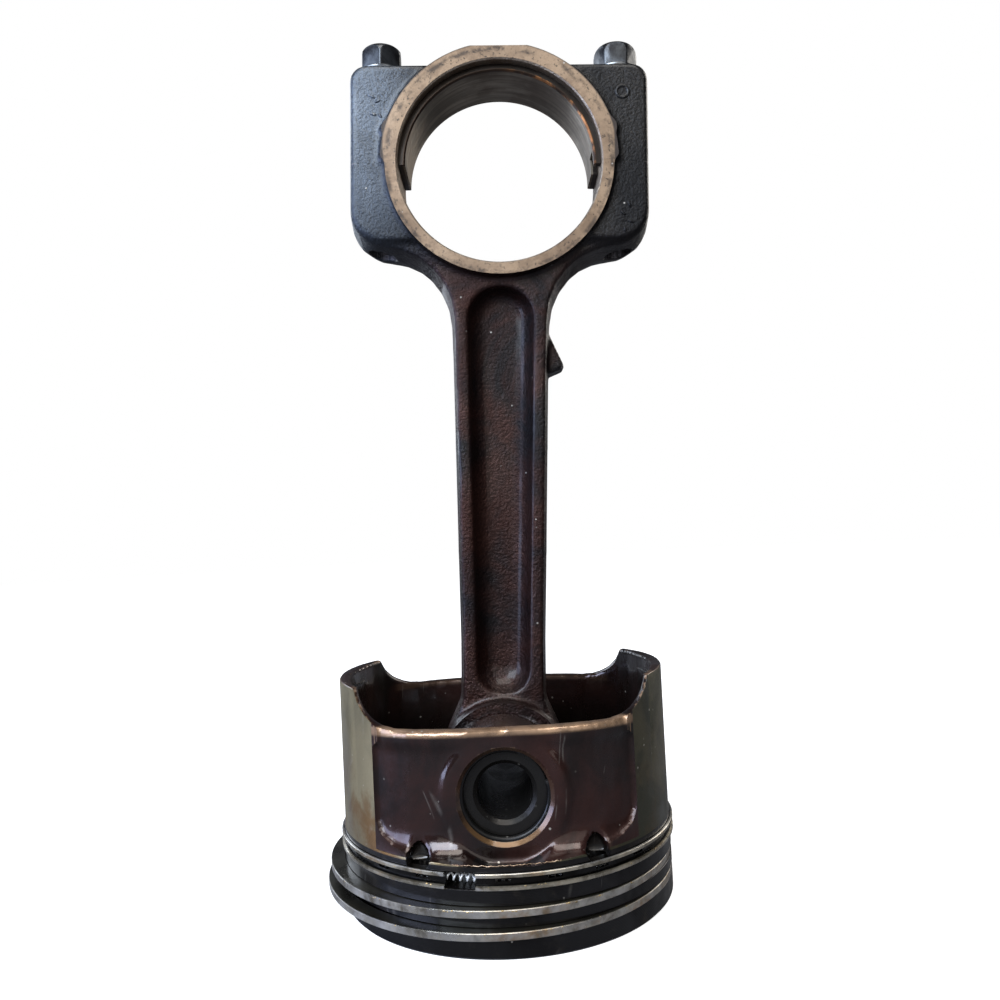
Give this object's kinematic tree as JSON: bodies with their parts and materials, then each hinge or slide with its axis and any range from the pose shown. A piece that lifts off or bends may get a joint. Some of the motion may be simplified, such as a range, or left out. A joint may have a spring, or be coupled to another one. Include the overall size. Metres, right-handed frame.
{
  "type": "engine piston with connecting rod",
  "caption": "Used four-stroke engine piston standing on its crown, with rings, hollow wrist pin and a swinging connecting rod whose big end has a bolted cap and a bearing half shell.",
  "frame": {"origin": "centre of the flat crown face, which the piston stands on", "axes": "+Z from the crown towards the big end, +Y along the wrist pin away from the front, +X to the right"},
  "size_m": [0.0919, 0.0874, 0.2205],
  "materials": {
    "cast_aluminium": "turned and cast aluminium alloy under brown varnish and oil",
    "ring_iron": "worn grey ring faces with oil beads",
    "spring_steel": "bright coil spring wire",
    "pin_steel": "ground steel under dark oil",
    "clip_steel": "dark oiled spring wire",
    "bush_bronze": "bored bronze",
    "forged_steel": "oily forged steel, machined tan big-end faces",
    "bearing_metal": "grey-brown worn bearing lining with a copper edge",
    "bolt_steel": "dark steel with bright worn facets"
  },
  "bodies": {
    "piston": {"piston_body": "cast_aluminium", "circlip_front": "clip_steel", "circlip_rear": "clip_steel"},
    "pin": {"wrist_pin": "pin_steel"},
    "rod": {"connecting_rod": "forged_steel", "small_end_bush": "bush_bronze", "rod_cap": "forged_steel", "cap_bearing_shell": "bearing_metal", "rod_bolt_left": "bolt_steel", "rod_bolt_right": "bolt_steel"},
    "top_ring": {"top_compression_ring": "ring_iron"},
    "second_ring": {"second_compression_ring": "ring_iron"},
    "oil_ring_set": {"oil_ring": "ring_iron", "oil_ring_expander": "spring_steel", "expander_latch_wire": "spring_steel"}
  },
  "joints": [
    {"name": "rod_swing", "type": "hinge", "parent": "piston", "child": "rod", "pos_m": [0, 0, 0.0324], "axis": [0, 1, 0], "range_deg": [-42, 38]},
    {"name": "pin_spin", "type": "hinge", "parent": "piston", "child": "pin", "pos_m": [0, 0, 0.0324], "axis": [0, 1, 0], "continuous": true},
    {"name": "top_ring_turn", "type": "hinge", "parent": "piston", "child": "top_ring", "pos_m": [-0.0023, 0, 0.006], "axis": [0, 0, 1], "continuous": true},
    {"name": "second_ring_turn", "type": "hinge", "parent": "piston", "child": "second_ring", "pos_m": [-0.002, 0, 0.0105], "axis": [0, 0, 1], "continuous": true},
    {"name": "oil_ring_turn", "type": "hinge", "parent": "piston", "child": "oil_ring_set", "pos_m": [0, 0, 0.0167], "axis": [0, 0, 1], "continuous": true}
  ]
}
